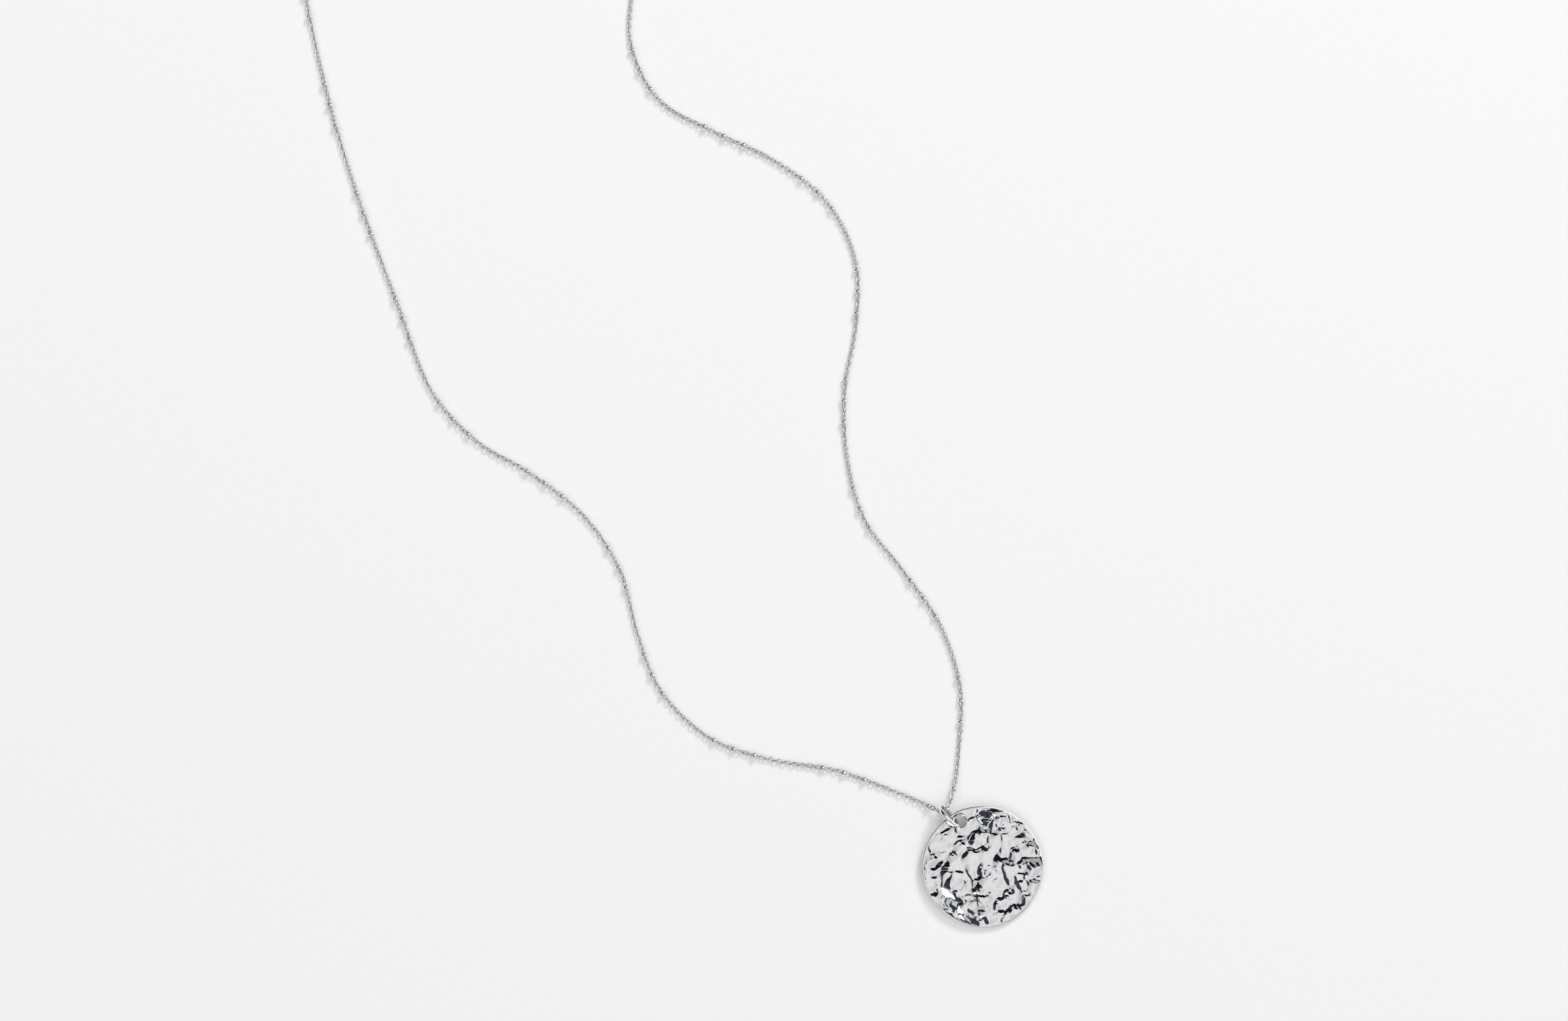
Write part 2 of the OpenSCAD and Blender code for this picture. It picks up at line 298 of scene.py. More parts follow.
# each step below is where a part starts or ends, in degrees out from the flat way
wallTone = towards(*studio["dimSide"]).tint(studio["darkTone"], studio["dimTone"])
wallTone = (towards(*studio["blueSide"]) * fromFlat.step(19, 27)).tint(wallTone, studio["blueTone"])
wallTone = (towards(*studio["greyCard"]) * fromFlat.step(26, 28)).tint(wallTone, studio["greyTone"])
keyCard = towards(*studio["keyCard"]) * fromFlat.step(26, 28) * (1 - fromFlat.step(60, 64))
wallTone = keyCard.tint(wallTone, studio["keyTone"])
sideCard = towards(*studio["sideCard"]) * fromFlat.step(38, 40) * (1 - fromFlat.step(60, 62))
wallTone = sideCard.tint(wallTone, studio["sideTone"])
horizon = towards(*studio["horizonSide"]).tint([studio["horizonTone"] * 0.1] * 3, [studio["horizonTone"]] * 3)
wallTone = fromUpright.step(74, 82).tint(wallTone, horizon)
seen = outside.tint(ceiling, wallTone)
rays = {name: start.node("ShaderNodeLightPath", out=place)
        for name, place in (("camera", 0), ("glossy", 3), ("bounced", 10))}
even = fromUpright.step(30, 75).tint([studio["fillHigh"]] * 3, [studio["fillLow"]] * 3)
# only mirror rays see the walls and cards: the soft light on the floor stays even
light = (rays["glossy"] * (1 - rays["bounced"].step(0, 1))).tint(even, seen)
light = rays["camera"].tint(light, studio["floorTone"])
background = start.node("ShaderNodeBackground", feed={"Color": light, "Strength": 1.0})
start.node("ShaderNodeOutputWorld", feed={"Surface": background})
print("studio ready")

# finishes


# polished metal, a little duller in patches, with hair scratches, and painted shade where a shade tone is
# given
def polished(name, tone, shine, scratches, paintedShade=None):
    finish = bpy.data.materials.new(name)
    start = freshTree(finish)
    spot = start.node("ShaderNodeTexCoord", out=3)
    cloud = start.node("ShaderNodeTexNoise", feed={"Vector": spot, "Scale": 260.0, "Detail": 4.0})
    hairs = start.node("ShaderNodeTexNoise", feed={
        "Vector": start.node("ShaderNodeMapping", feed={"Vector": spot, "Rotation": (0.2, 0.1, 0.7),
                                                        "Scale": (900.0, 9000.0, 3000.0)}),
        "Scale": 1.0, "Detail": 2.0})
    bump = start.node("ShaderNodeBump", feed={"Height": hairs, "Strength": scratches, "Distance": 0.00002})
    shown = cloud.step(0.35, 0.65).tint([c * 0.96 for c in tone], tone)
    if paintedShade:  # painted shade: darker where the mark is low, along the wires' edges and inner sides, in place of shade there
        unshaded = start.node("ShaderNodeAttribute", {"attribute_name": "unshaded"}, out=2)
        shown = unshaded.step(0.1, 0.6).tint(paintedShade, shown)
    metal = start.node("ShaderNodeBsdfPrincipled", feed={
        "Base Color": shown,
        "Metallic": 1.0,
        "Roughness": cloud.step(0.3, 0.7) * 0.04 + shine,
        "Normal": bump})
    start.node("ShaderNodeOutputMaterial", feed={"Surface": metal})
    return finish


hammeredSilver = polished("hammeredSilver", (0.95, 0.95, 0.955), 0.02, 0.05)
# the rings and the links get painted shade, a darker tone along their wires' edges and inner sides
ringSilver = polished("ringSilver", (0.95, 0.935, 0.905), 0.06, 0.1, paintedShade=(0.42, 0.385, 0.34))
chainSilver = polished("chainSilver", (0.98, 0.97, 0.955), 0.1, 0.1, paintedShade=(0.24, 0.22, 0.20))
beadSilver = polished("beadSilver", (0.94, 0.94, 0.94), 0.04, 0.06)
claspSilver = polished("claspSilver", (0.92, 0.915, 0.90), 0.06, 0.12)

# hammered disc

disc = {
    "at": (74, -161), "width": 28, "thick": 1.2, "lean": 3.2, "rim": 0.36, "rimIn": 0.02,
    "hole": (-5.21, 10.57), "holeWidth": 2.75,
    "holeSink": 0.18, "holeSoft": 0.16,  # how far the face sinks at the hole, and how soon it is back
    "squares": 290,  # fineness of the face's mesh
    "smoothAngle": 42,
    # from the face's edge to the back: how far each step goes down, and how much wider it is
    "rimSteps": [(0.06, 1.0012), (0.22, 1.0), (0.53, 0.998), (0.148, 0.990)],
    "backBelow": 0.05,  # what is lower than this lies flat
    # how far the beaten outline stands out or in, by degrees from +X
    "outline": [(0, 0), (30, -0.15), (60, 0.05), (90, 0.15), (112, 0.25), (135, 0), (180, 0.05),
                (200, -0.2), (225, -0.4), (242, -0.35), (262, -0.1), (285, 0.05), (308, -0.2),
                (330, -0.15), (360, 0)],
    "faceHold": 40, "outlineHold": 8,  # how near the rim the hammering ends and the outline begins
    # the chart of the hammering: half its width, its fineness and rounds, and its finest and longest waves
    "chartHalf": 14.6, "chartSquares": 400, "chartRounds": 110,
    "finest": 0.03, "levelling": 0.006, "edgeFade": 0.9,
    # the dents: their depth by half width, how softly they meet, and how far they wander
    "dentShare": 0.06, "dentBlend": 0.012, "dentDeepest": 0.3, "dentWander": 0.12, "dentWave": 2.6,
    "swells": [(0.010, 3.4, 1), (0.0022, 1.0, 2)],  # depth, wave and seed
    "pitDepth": 0.009, "pitWave": 0.62, "pitSlope": 0.5,
    # the walls: how far their lines wander, how sharp their edges are, and what relief they carry
    "wallWander": 0.05, "wallEdge": 0.04, "wallPad": 0.7,
    "wallDents": 0.25, "grainDepth": 0.0012, "grainWave": 0.42,
    "thinWay": -20, "thinHalf": 0.15, "broadOver": 0.4, "kindShare": 0.9, "steepFirst": 0.3,
    # a wall is no flatter than its slope in degrees, and stands more than so far from the bright way
    "wallSlope": 11.5, "wallFrom": 92, "sharpSlope": 0.25, "mostSlope": 0.35, "wallPush": 1.4,
    # between the walls: no steeper than the calm slope, which grows towards the bright way
    "brightWay": 138, "calmSlope": 5.2, "calmMore": 22.5, "calmFrom": 40, "calmOver": 50, "dentPull": 0.05,
}

# hammer dents: x, y from the disc's middle and half width
dents = [
    (-4.6, 12.0, 2.2), (0.3, 12.0, 2.4), (4.2, 12.3, 1.6), (7.6, 11.0, 1.4), (-2.6, 9.6, 2.0),
    (2.0, 9.6, 1.2), (4.6, 9.9, 2.0), (9.6, 9.0, 0.9), (-9.4, 9.4, 1.7), (-7.0, 7.6, 1.8),
    (-4.3, 9.2, 1.6), (7.6, 8.3, 1.5), (-0.8, 6.8, 2.6), (2.8, 6.1, 1.9), (5.3, 6.1, 1.7),
    (9.4, 7.0, 1.3), (-9.8, 6.4, 1.8), (-11.4, 5.0, 1.8), (-5.2, 4.4, 1.9), (8.0, 5.6, 1.6),
    (-12.1, 1.7, 1.9), (-9.2, 3.6, 1.8), (-6.7, 1.9, 1.9), (-2.8, 2.0, 2.4), (0.4, 2.3, 2.7),
    (5.3, 3.4, 1.7), (7.9, 3.1, 1.9), (10.4, 3.9, 2.0), (12.2, 5.4, 1.5), (11.4, 1.4, 2.2),
    (5.2, 1.0, 1.4), (3.3, 1.4, 1.4), (-9.0, -0.4, 1.9), (-5.8, -0.6, 2.1), (-2.7, -0.7, 2.1),
    (-0.3, -0.9, 1.5), (1.5, -1.1, 1.3), (3.4, -0.8, 1.7), (6.4, -1.3, 2.2), (9.0, -2.2, 1.4),
    (11.5, -1.0, 1.9), (8.9, -4.0, 1.8), (11.4, -4.2, 1.9), (-12.2, -1.6, 1.6), (-11.0, -3.6, 2.0),
    (-8.4, -3.0, 1.7), (-5.6, -3.0, 2.1), (-3.9, -5.0, 2.1), (-1.0, -4.7, 1.7), (1.0, -4.2, 1.8),
    (3.4, -3.6, 2.0), (6.0, -6.2, 1.5), (-11.0, -5.9, 1.4), (-8.2, -5.8, 1.9), (-9.8, -8.2, 1.6),
    (-7.6, -7.9, 1.3), (-5.6, -7.2, 1.8), (-2.9, -8.3, 2.1), (0.7, -7.2, 1.6), (3.6, -6.0, 1.6),
    (9.8, -7.4, 1.5), (4.0, -8.7, 2.0), (7.7, -9.4, 1.7), (-5.4, -9.9, 1.8), (-7.4, -10.4, 1.4),
    (0.9, -9.6, 1.6), (-2.0, -11.3, 1.9), (-4.6, -12.0, 1.5), (2.3, -11.5, 1.8), (6.1, -11.0, 1.6),
    (-0.2, -12.8, 1.4), (4.4, -12.6, 1.2), (11.6, -6.6, 1.3), (13.0, -0.6, 1.1), (-13.1, 3.9, 0.9),
    (-7.4, 4.6, 1.5)]

# where the hammer's edge left a steep wall: its kind, then x, y and half width along it
walls = [
    # top left
    ("low", (-9.5, 10.1, .07), (-8.6, 10.2, .07), (-8.3, 9.4, .07)),
    ("low", (-9.8, 8.05, .18), (-9.0, 8.3, .26), (-8.3, 8.75, .27), (-7.7, 9.05, .12), (-7.4, 9.15, .06)),
    ("side", (-6.35, 8.9, .2), (-6.25, 8.4, .3), (-6.0, 7.95, .14)),
    ("side", (-5.6, 7.2, .28), (-5.1, 7.15, .32), (-4.65, 7.1, .2)),
    ("low", (-10.6, 7.6, .12), (-10.4, 7.6, .1)), ("low", (-8.8, 7.5, .08), (-8.1, 7.6, .1)),
    ("low", (-9.4, 6.8, .07), (-9.5, 6.2, .07)),
    ("low", (-2.2, 8.25, .12), (-2.9, 7.8, .13), (-3.4, 7.0, .14), (-3.45, 6.3, .15), (-3.1, 5.5, .2)),
    ("side", (-2.15, 7.6, .25), (-2.3, 6.9, .42), (-2.5, 6.1, .55), (-2.65, 5.45, .3)),
    ("low", (-1.8, 8.2, .3), (-1.2, 8.5, .42), (-.8, 8.0, .36), (-.3, 7.5, .14)),
    ("far", (-.4, 8.75, .28), (.1, 8.4, .36)), ("far", (1.0, 8.5, .25), (1.4, 8.2, .3)),
    ("low", (0.0, 9.0, .1), (.5, 8.6, .1), (.7, 7.6, .12)),
    ("low", (-3.6, 4.65, .1), (-3.0, 4.55, .1), (-2.3, 4.35, .11), (-1.6, 4.15, .11), (-1.1, 4.25, .12),
     (-.5, 4.7, .15), (0, 5.0, .15), (.6, 5.1, .15), (1.2, 4.85, .15), (1.5, 4.4, .12)),
    ("low", (-3.3, 4.05, .12), (-2.5, 3.85, .12), (-1.9, 3.65, .14), (-1.3, 3.5, .14), (-.7, 3.7, .1)),
    ("low", (.1, 4.25, .5), (.7, 4.3, .5)), ("low", (1.7, 4.1, .13), (2.6, 3.6, .11)),
    ("side", (-3.6, 3.6, .3), (-4.05, 2.95, .58), (-4.4, 2.55, .4)),
    ("low", (-4.7, 2.2, .1), (-4.5, 2.0, .08)),
    ("low", (-7.6, 2.7, .1), (-7.45, 3.3, .14), (-7.0, 3.6, .16), (-6.5, 3.3, .25), (-6.1, 3.05, .22),
     (-5.75, 2.75, .12)),
    ("low", (-9.3, 3.5, .08), (-8.8, 3.4, .08), (-8.2, 3.1, .08)),
    ("low", (-6.6, 5.3, .1), (-6.2, 5.85, .1), (-5.6, 6.2, .1), (-4.9, 6.4, .1), (-4.3, 6.25, .15),
     (-3.9, 5.75, .14)),
    ("low", (-5.4, 5.75, .07), (-5.0, 5.55, .09), (-4.6, 5.65, .13), (-4.2, 5.85, .2)),
    ("key", (-8.3, 10.5, .3), (-7.6, 9.95, .45), (-6.7, 9.75, .4), (-6.0, 9.6, .25)),
    ("side", (-12.5, 5.0, .13), (-12.4, 4.2, .2), (-12.1, 3.5, .26), (-11.6, 3.15, .27),
     (-11.1, 3.1, .22)),
    ("low", (-10.85, 2.4, .3), (-10.7, 2.35, .28)), ("low", (-12.1, 2.0, .05), (-11.4, 2.0, .05)),
    ("low", (-13.05, 1.4, .14), (-13.0, .9, .14)), ("low", (-13.6, .2, .2), (-13.3, -.3, .28)),
    # left
    ("low", (-11.8, -.3, .2), (-11.1, -.35, .38), (-10.4, .2, .5), (-9.8, .9, .5), (-9.4, 1.3, .28)),
    ("side", (-8.0, 1.15, .38), (-8.25, .4, .62), (-8.7, -.3, .85), (-9.2, -1.1, .6), (-9.35, -1.6, .3)),
    ("low", (-9.3, -1.9, .14), (-9.35, -3.0, .14), (-9.5, -4.1, .2)),
    ("low", (-7.9, -.9, .2), (-7.1, -1.15, .2)),
    ("low", (-7.1, -1.7, .2), (-7.5, -2.5, .3), (-8.1, -3.2, .3)),
    ("side", (-7.9, -3.5, .45), (-8.3, -4.0, .6), (-7.6, -4.8, .35)),
    ("key", (-9.2, -4.9, .35), (-8.7, -5.6, .75), (-7.9, -6.2, .75), (-7.2, -6.5, .4)),
    ("side", (-7.0, -5.9, .3), (-6.5, -5.8, .46), (-6.15, -5.4, .25)),
    ("side", (-6.6, -6.6, .5), (-6.4, -7.2, .5), (-5.4, -7.4, .45), (-4.95, -8.1, .62),
     (-4.6, -8.9, .34)),
    ("side", (-7.5, -8.5, .3), (-6.8, -9.2, .55), (-6.4, -9.9, .4)),
    ("key", (-5.6, -8.7, .2), (-5.5, -9.6, .6), (-4.9, -10.1, .55), (-4.4, -10.1, .2)),
    ("key", (-5.2, -11.2, .35), (-4.7, -11.8, .5), (-3.8, -12.5, .45), (-3.1, -12.8, .2)),
    ("low", (-5.4, -10.8, .12), (-4.4, -10.8, .15)),
    ("side", (-4.4, -9.2, .3), (-3.6, -9.5, .3), (-2.9, -10.0, .35), (-2.2, -10.6, .42),
     (-1.7, -10.9, .5)),
    ("side", (-3.6, -11.5, .38), (-2.9, -11.7, .62), (-2.4, -12.3, .6), (-1.9, -11.8, .42),
     (-1.2, -11.2, .3)),
    ("key", (-.7, -10.9, .4), (-.3, -11.2, .5), (.1, -11.3, .2)),
    ("low", (-1.0, -10.1, .12), (-.1, -10.0, .16), (.3, -10.6, .16)),
    ("low", (-10.4, -4.9, .17), (-10.3, -5.6, .33), (-10.8, -6.25, .4), (-11.5, -6.2, .18)),
    ("low", (-12.2, -1.5, .12), (-11.9, -1.7, .12)),
    ("low", (-11.6, -2.3, .14), (-11.1, -2.25, .26), (-10.6, -2.2, .12)),
    ("low", (-13.2, -2.6, .16), (-12.9, -2.8, .12)), ("low", (-10.8, -3.9, .13), (-10.4, -4.0, .13)),
    ("low", (-9.0, -8.6, .25), (-8.8, -9.2, .45), (-8.3, -9.7, .4), (-8.0, -9.9, .2)),
    ("low", (-8.3, -7.0, .1), (-8.6, -7.6, .12), (-8.4, -8.5, .12), (-7.8, -9.2, .14), (-7.1, -9.9, .16),
     (-6.4, -10.4, .12)),
    ("low", (-7.2, -7.9, .1), (-7.5, -8.6, .16)),
    # middle
    ("low", (-6.2, -1.0, .13), (-5.5, -.9, .27), (-4.8, -1.1, .24)),
    ("low", (-4.3, -3.1, .2), (-4.0, -3.4, .28), (-3.8, -3.2, .1)),
    ("low", (-3.75, -.5, .25), (-3.55, -1.2, .2), (-3.1, -1.9, .22), (-2.6, -2.6, .24), (-2.3, -3.0, .2)),
    ("low", (-2.3, -2.9, .15), (-1.6, -2.8, .2), (-.9, -2.7, .22), (-.3, -2.5, .14), (.3, -2.35, .12)),
    ("low", (-1.2, -1.0, .12), (-1.0, 0.0, .14), (-.4, .7, .18), (0.0, .3, .15)),
    ("side", (-.65, -.5, .35), (-.7, -1.3, .6), (-.55, -2.0, .5)),
    ("low", (-2.35, -3.1, .14), (-2.4, -4.2, .14), (-2.35, -5.2, .15), (-2.0, -5.9, .17),
     (-1.4, -6.4, .22), (-1.2, -7.2, .17), (-1.2, -8.2, .14), (-1.0, -8.8, .17)),
    ("low", (-1.2, -3.6, .18), (-1.1, -4.1, .18)),
    ("side", (-1.9, -5.1, .25), (-1.4, -4.9, .4), (-.9, -5.2, .34), (-.6, -5.6, .15)),
    ("key", (-2.0, -5.9, .15), (-1.5, -6.1, .15)), ("side", (-1.4, -6.5, .2), (-.7, -6.6, .22)),
    ("low", (-3.95, -6.7, .14), (-3.3, -6.25, .15), (-2.6, -6.45, .15), (-1.9, -7.2, .2),
     (-1.7, -7.7, .18)),
    ("low", (-3.7, -6.95, .2), (-3.1, -7.2, .28), (-2.4, -7.6, .28), (-1.9, -7.75, .2)),
    ("low", (-.5, -8.1, .16), (.3, -8.6, .14)), ("low", (-.8, -7.9, .14), (-.3, -8.3, .18)),
    ("low", (.2, -6.6, .12), (.8, -6.75, .2), (1.1, -7.0, .14)),
    ("low", (1.4, -5.75, .1), (1.8, -5.85, .1)), ("low", (1.1, .4, .1), (1.5, .4, .1)),
    ("low", (2.7, .3, .06), (2.9, .3, .06)), ("low", (2.9, -.6, .1), (3.3, -1.1, .1)),
    ("low", (.5, -.9, .08), (.4, -1.6, .09), (1.0, -2.05, .12), (1.7, -1.75, .17), (1.8, -1.3, .12)),
    ("low", (2.8, -2.8, .07), (3.0, -2.8, .08)), ("low", (3.8, -5.5, .08), (4.0, -5.5, .08)),
    # top
    ("low", (-1.5, 13.6, .12), (-1.4, 12.9, .17)),
    ("side", (-1.2, 12.1, .25), (-.5, 12.0, .5), (.4, 12.1, 1.0), (1.5, 12.3, .85), (2.1, 12.7, .4)),
    ("side", (.5, 11.4, 1.0), (.4, 10.7, .7), (.35, 10.2, .42)),
    ("key", (-1.3, 11.4, .12), (-.8, 10.8, .16), (-.2, 10.2, .12)),
    ("low", (-1.7, 11.8, .12), (-1.2, 10.9, .12), (-.6, 10.1, .12), (.1, 9.7, .16), (.6, 9.8, .12)),
    ("low", (-3.4, 10.8, .16), (-3.2, 11.2, .16), (-2.5, 11.5, .14), (-1.9, 11.7, .14)),
    ("low", (.8, 9.7, .12), (1.3, 10.5, .12), (2.2, 11.4, .14)),
    ("side", (3.1, 13.0, .18), (3.15, 12.5, .24)), ("key", (2.5, 11.9, .42), (2.9, 11.8, .3)),
    ("side", (3.0, 11.5, .22), (3.6, 11.75, .3), (4.3, 11.75, .22), (5.1, 11.6, .13)),
    ("low", (5.5, 12.6, .2), (5.75, 12.1, .28), (5.95, 11.5, .24), (6.1, 10.9, .18), (6.2, 10.3, .16)),
    ("low", (6.75, 11.7, .16), (6.85, 11.2, .13), (7.05, 10.7, .1)),
    ("low", (7.2, 10.45, .25), (7.8, 10.25, .38), (8.4, 10.0, .38), (8.85, 10.1, .2)),
    ("low", (6.8, 9.4, .11), (7.2, 9.4, .11)), ("low", (7.7, 9.0, .27), (7.9, 8.8, .27)),
    ("low", (9.0, 9.1, .09), (9.3, 9.6, .09), (9.9, 9.0, .09), (10.0, 8.5, .09)),
    ("low", (9.4, 9.0, .14), (9.7, 8.6, .17)), ("low", (10.1, 8.3, .22), (10.8, 7.8, .19)),
    ("low", (7.5, 7.0, .18), (8.2, 7.15, .4), (8.9, 7.4, .62), (9.5, 7.1, .42), (9.95, 7.0, .15)),
    ("side", (1.5, 8.9, .3), (1.75, 9.6, .36), (2.05, 10.2, .28), (2.3, 10.8, .2)),
    ("low", (1.7, 8.7, .15), (2.0, 8.3, .1)),
    ("side", (2.8, 9.8, .14), (3.2, 9.5, .2), (3.9, 9.2, .25), (4.5, 9.0, .28), (4.9, 8.95, .2)),
    ("low", (4.3, 9.7, .1), (4.8, 9.8, .12)),
    ("low", (1.8, 7.95, .14), (2.3, 7.8, .22), (2.9, 7.6, .24), (3.5, 7.5, .12)),
    ("low", (4.4, 7.6, .1), (5.0, 7.8, .17), (5.6, 7.65, .18), (6.0, 7.3, .08)),
    ("low", (4.2, 7.4, .12), (4.3, 6.8, .12), (4.45, 6.1, .1)),
    ("low", (1.2, 7.2, .13), (1.15, 6.7, .2), (1.1, 6.1, .15), (1.2, 5.6, .1)),
    # right
    ("low", (4.1, 4.4, .14), (3.95, 3.8, .24), (4.05, 3.4, .14)),
    ("low", (6.4, 4.3, .12), (6.9, 4.6, .14), (7.6, 4.7, .15), (8.1, 4.5, .15)),
    ("low", (7.0, 4.0, .2), (7.6, 3.85, .42), (8.0, 3.8, .33), (8.2, 3.6, .1)),
    ("side", (6.35, 3.4, .17), (6.35, 2.8, .3), (6.45, 2.3, .12)),
    ("low", (9.2, 5.7, .2), (9.6, 5.75, .27), (10.1, 5.45, .2), (10.5, 5.0, .2), (11.2, 4.9, .14)),
    ("low", (10.8, 6.1, .1), (11.5, 5.9, .12), (12.0, 5.5, .1)),
    ("far", (10.9, 5.6, .3), (11.8, 5.2, .45), (12.5, 4.6, .3)),
    ("low", (12.1, 4.1, .13), (12.3, 3.6, .27), (12.4, 3.1, .12)),
    ("low", (8.7, 1.9, .12), (9.3, 2.3, .12), (10.2, 2.25, .13), (11.1, 2.12, .14), (11.8, 2.2, .12),
     (12.3, 2.5, .1)),
    ("far", (9.4, 1.6, .3), (10.5, 1.6, .36), (12.0, 1.6, .45), (13.1, 1.9, .5), (13.4, .8, .45)),
    ("low", (7.9, .7, .18), (8.5, 1.2, .38), (8.9, 1.8, .22)), ("low", (8.3, .4, .15), (8.6, -.1, .16)),
    ("low", (9.3, .7, .25), (9.9, .8, .25), (10.3, .6, .2)),
    ("low", (10.4, .1, .3), (11.0, .5, .5), (11.6, .5, .65), (12.2, .3, .5), (12.8, -.1, .25)),
    ("low", (3.2, 2.9, .34), (3.3, 2.2, .72), (3.5, 1.7, .6), (4.2, 1.75, .36)),
    ("low", (2.5, 1.85, .2), (2.8, 1.5, .25)),
    ("low", (4.5, 1.95, .14), (5.3, 2.1, .18), (6.0, 1.85, .22), (6.5, 1.3, .28), (7.1, .75, .27)),
    ("far", (4.9, 1.4, .3), (5.7, 1.3, .36)), ("low", (4.5, .9, .12), (4.8, .6, .14)),
    ("low", (5.3, .5, .12), (5.9, .6, .14)),
    ("side", (4.45, .4, .14), (4.6, -.6, .2), (4.95, -1.6, .3), (5.3, -2.6, .45), (5.6, -3.4, .36),
     (5.9, -4.0, .16)),
    ("low", (8.2, -1.4, .12), (9.0, -1.45, .15), (9.6, -1.6, .24), (10.1, -1.5, .24), (10.4, -1.9, .12)),
    ("low", (9.6, -2.0, .18), (9.4, -2.7, .14)),
    ("side", (7.4, -2.2, .14), (7.55, -2.9, .24), (7.75, -3.6, .4), (8.1, -4.3, .42), (8.6, -5.0, .3),
     (9.1, -5.5, .22), (9.9, -5.6, .12)),
    ("low", (8.2, -3.3, .22), (8.7, -3.2, .2)), ("low", (10.0, -3.0, .14), (10.4, -3.6, .18)),
    ("low", (10.7, -2.45, .13), (11.3, -2.7, .13), (12.2, -2.6, .1)),
    ("far", (11.4, -3.2, .32), (12.6, -3.3, .36)), ("low", (12.6, -2.1, .24), (13.1, -2.1, .24)),
    ("low", (13.35, -1.1, .2), (13.15, -1.7, .16)),
    # bottom right
    ("side", (4.8, -6.2, .27), (4.95, -6.6, .34), (5.4, -6.7, .3), (5.4, -7.1, .15)),
    ("low", (4.8, -6.0, .08), (5.4, -5.15, .07), (6.2, -4.95, .08)),
    ("low", (6.3, -5.0, .16), (6.9, -5.3, .3), (7.15, -5.7, .2)),
    ("low", (3.4, -7.2, .15), (3.8, -7.15, .38), (4.4, -7.25, .34), (4.8, -7.5, .12)),
    ("side", (3.1, -7.8, .16), (2.75, -8.6, .26), (2.7, -9.3, .29), (2.9, -9.8, .15)),
    ("low", (3.5, -10.2, .2), (4.1, -10.15, .38), (4.7, -10.1, .3)),
    ("key", (2.9, -10.05, .18), (3.2, -10.2, .1)),
    ("low", (9.4, -6.35, .1), (10.1, -6.4, .14), (10.6, -6.55, .3), (10.95, -6.7, .22)),
    ("side", (9.55, -7.1, .22), (9.45, -7.8, .37), (9.4, -8.5, .43), (9.5, -9.0, .22)),
    ("low", (8.8, -7.5, .08), (9.1, -6.8, .08), (9.5, -6.4, .08)),
    ("low", (6.8, -8.8, .12), (7.3, -8.65, .2), (8.0, -8.8, .28), (8.5, -9.1, .34), (8.85, -9.6, .26)),
    ("low", (7.4, -9.3, .15), (8.0, -9.4, .2)),
    ("side", (6.3, -9.0, .28), (6.0, -9.6, .33), (5.4, -10.3, .22), (4.9, -11.1, .14)),
    ("low", (6.6, -9.9, .2), (6.2, -10.3, .15)),
    ("low", (4.8, -11.6, .1), (4.2, -12.2, .16), (4.5, -12.6, .26), (4.0, -12.8, .16)),
    ("low", (7.3, -11.0, .12), (6.3, -11.7, .12)),
    ("side", (.5, -11.8, .45), (.9, -12.4, .48), (1.25, -13.0, .33), (1.6, -13.3, .1)),
    ("low", (1.8, -13.3, .1), (2.5, -13.1, .13)),
    ("low", (-.2, -12.0, .18), (-.8, -12.2, .14), (-1.6, -12.6, .14), (-2.0, -13.2, .13)),
    ("low", (-1.1, -12.7, .26), (-.9, -13.2, .22)),
]
# where the face is pitted: x, y and half width
roughSpots = [
    (8.6, -2.2, 1.0), (9.5, -4.2, 1.1), (6.1, -6.2, 1.1), (5.8, .3, 1.1), (9.2, .3, 1.0), (1.2, -1.3, .8),
    (.4, -7.6, 1.1), (-1.1, -4.9, .8), (3.6, -8.7, .9), (7.7, -9.5, 1.0), (3.6, 9.6, .9), (1.6, 9.6, .8),
    (6.4, -3.3, .6), (-5.3, 5.4, 1.0), (-12.4, -1.9, 1.0), (-4.9, -10.9, .6), (3.3, -.2, .6),
    (-6.5, 3.1, .8), (7.6, 3.6, .7), (-1.0, -12.8, .7), (11.5, .3, 1.0)]

# the way that each kind of wall faces, in degrees from +X, and its slope
wallWays = {"low": (-45, 11), "side": (22, 11), "key": (42, 17.5), "far": (-112, 17.0)}


def ripple(x, y, wave, seed, count=24):  # an even scatter of waves of about one length
    dice = random.Random(seed)
    height = np.zeros_like(x)
    for _ in range(count):
        turn, length = dice.uniform(0, 2 * math.pi), wave * dice.uniform(0.75, 1.35)
        height += np.sin((x * math.cos(turn) + y * math.sin(turn)) * 2 * math.pi / length
                         + dice.uniform(0, 2 * math.pi))
    return height / math.sqrt(count / 2)


